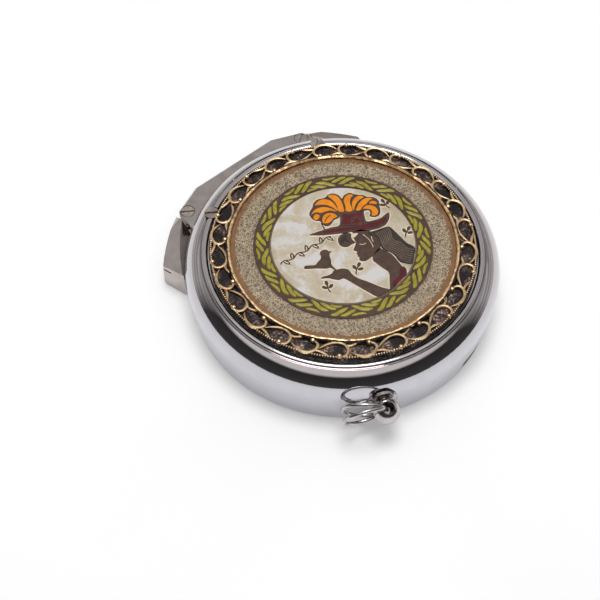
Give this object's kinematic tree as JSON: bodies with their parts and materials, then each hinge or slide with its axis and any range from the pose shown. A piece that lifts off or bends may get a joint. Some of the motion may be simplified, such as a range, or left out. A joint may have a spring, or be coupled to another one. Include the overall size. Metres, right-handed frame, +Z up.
{
  "type": "pill box",
  "caption": "Round pocket pill box: deep chromed lid with an ornamental enamelled medallion, hinged to a tray, with a hanging split ring",
  "frame": {"origin": "centre of the round base, on the surface the box rests on", "axes": "+Z up through the lid, +Y towards the hinge, +X to the right seen from the front"},
  "size_m": [0.05, 0.0533, 0.0119],
  "materials": {
    "case_chrome": "polished chrome plate, lightly worn",
    "hinge_chrome": "worn, browned nickel plate",
    "gilt": "rose-gold gilding over a blackened ground",
    "medallion": "khaki vermicelli enamel on bronze brown metal",
    "picture_enamel": "pearl cream, orange and dark red enamel",
    "wreath_enamel": "olive green enamel leaves with brown outlines",
    "tray_steel": "satin drawn steel",
    "liner": "matt dark lining",
    "screw_steel": "slotted screws, a little tarnished",
    "spring_steel": "spring steel",
    "ring_steel": "bright steel wire"
  },
  "bodies": {
    "base": {"base_plate": "tray_steel", "tray_pan": "tray_steel", "hinge_ear_left": "hinge_chrome", "hinge_ear_right": "hinge_chrome", "ear_screws": "screw_steel", "hinge_pins": "screw_steel", "catch_spring": "spring_steel", "catch_rivets": "screw_steel"},
    "lid": {"lid_shell": "case_chrome", "lid_liner": "liner", "ornament_ring": "gilt", "medallion_plate": "medallion", "picture_enamel": "picture_enamel", "wreath_enamel": "wreath_enamel", "hinge_bracket": "hinge_chrome", "hinge_cover": "hinge_chrome", "cover_screws": "screw_steel", "rim_screws": "screw_steel", "ball_stud": "ring_steel", "stud_washer": "screw_steel", "stud_nut": "screw_steel"},
    "ring": {"split_ring": "ring_steel"}
  },
  "joints": [
    {"name": "lid_hinge", "type": "hinge", "parent": "base", "child": "lid", "pos_m": [0, 0.0229, 0.005], "axis": [-1, 0, 0], "range_deg": [0, 95]},
    {"name": "ring_swing", "type": "hinge", "parent": "lid", "child": "ring", "pos_m": [-0.01293, -0.02382, 0.006], "axis": [-0.1235, -0.2275, 0.9659], "range_deg": [0, 180]}
  ]
}
